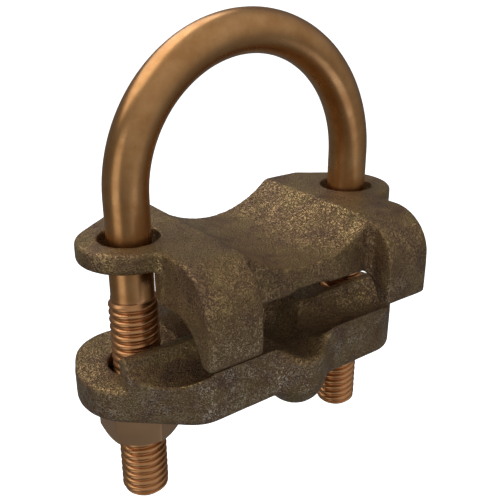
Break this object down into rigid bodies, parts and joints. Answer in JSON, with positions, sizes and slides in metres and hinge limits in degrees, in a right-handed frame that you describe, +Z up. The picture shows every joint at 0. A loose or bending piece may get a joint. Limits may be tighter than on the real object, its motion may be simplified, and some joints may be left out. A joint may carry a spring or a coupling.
{
  "type": "earth rod clamp",
  "caption": "U-bolt earth clamp with a rod saddle and a keeper whose crossed grooves grip a cable along or across the rod.",
  "frame": {"origin": "centre of the U-bolt's arch, on the axis of the rod it grips", "axes": "+Z up from the legs to the arch, X from leg to leg, Y along the rod, cross cable on the -Y side"},
  "size_m": [0.078, 0.0395, 0.0943],
  "materials": {
    "u_bolt_bronze": "drawn silicon bronze, satin, slightly tarnished",
    "cast_bronze": "sand cast bronze, grainy, brown tarnish",
    "nut_bronze": "machined silicon bronze, satin"
  },
  "bodies": {
    "u_bolt": {"u_bolt": "u_bolt_bronze"},
    "keeper": {"keeper_casting": "cast_bronze"},
    "saddle": {"saddle_casting": "cast_bronze"},
    "left_nut": {"left_nut": "nut_bronze"},
    "right_nut": {"right_nut": "nut_bronze"}
  },
  "joints": [
    {"name": "jaw_travel", "type": "slide", "parent": "u_bolt", "child": "keeper", "axis": [0, 0, -1], "range_m": [-0.008, 0.0145]},
    {"name": "saddle_travel", "type": "slide", "parent": "keeper", "child": "saddle", "axis": [0, 0, 1], "range_m": [-0.0082, 0.004]},
    {"name": "left_nut_turn", "type": "hinge", "parent": "keeper", "child": "left_nut", "pos_m": [-0.02699, 0, -0.0397], "axis": [0, 0, -1], "range_deg": [-1820, 3294]},
    {"name": "right_nut_turn", "type": "hinge", "parent": "keeper", "child": "right_nut", "pos_m": [0.02699, 0, -0.0397], "axis": [0, 0, -1], "range_deg": [-1820, 3294]}
  ],
  "couplings": [
    {"joint": "left_nut_turn", "follows": "jaw_travel", "rad_per_m": 3957.9},
    {"joint": "right_nut_turn", "follows": "jaw_travel", "rad_per_m": 3957.9}
  ]
}
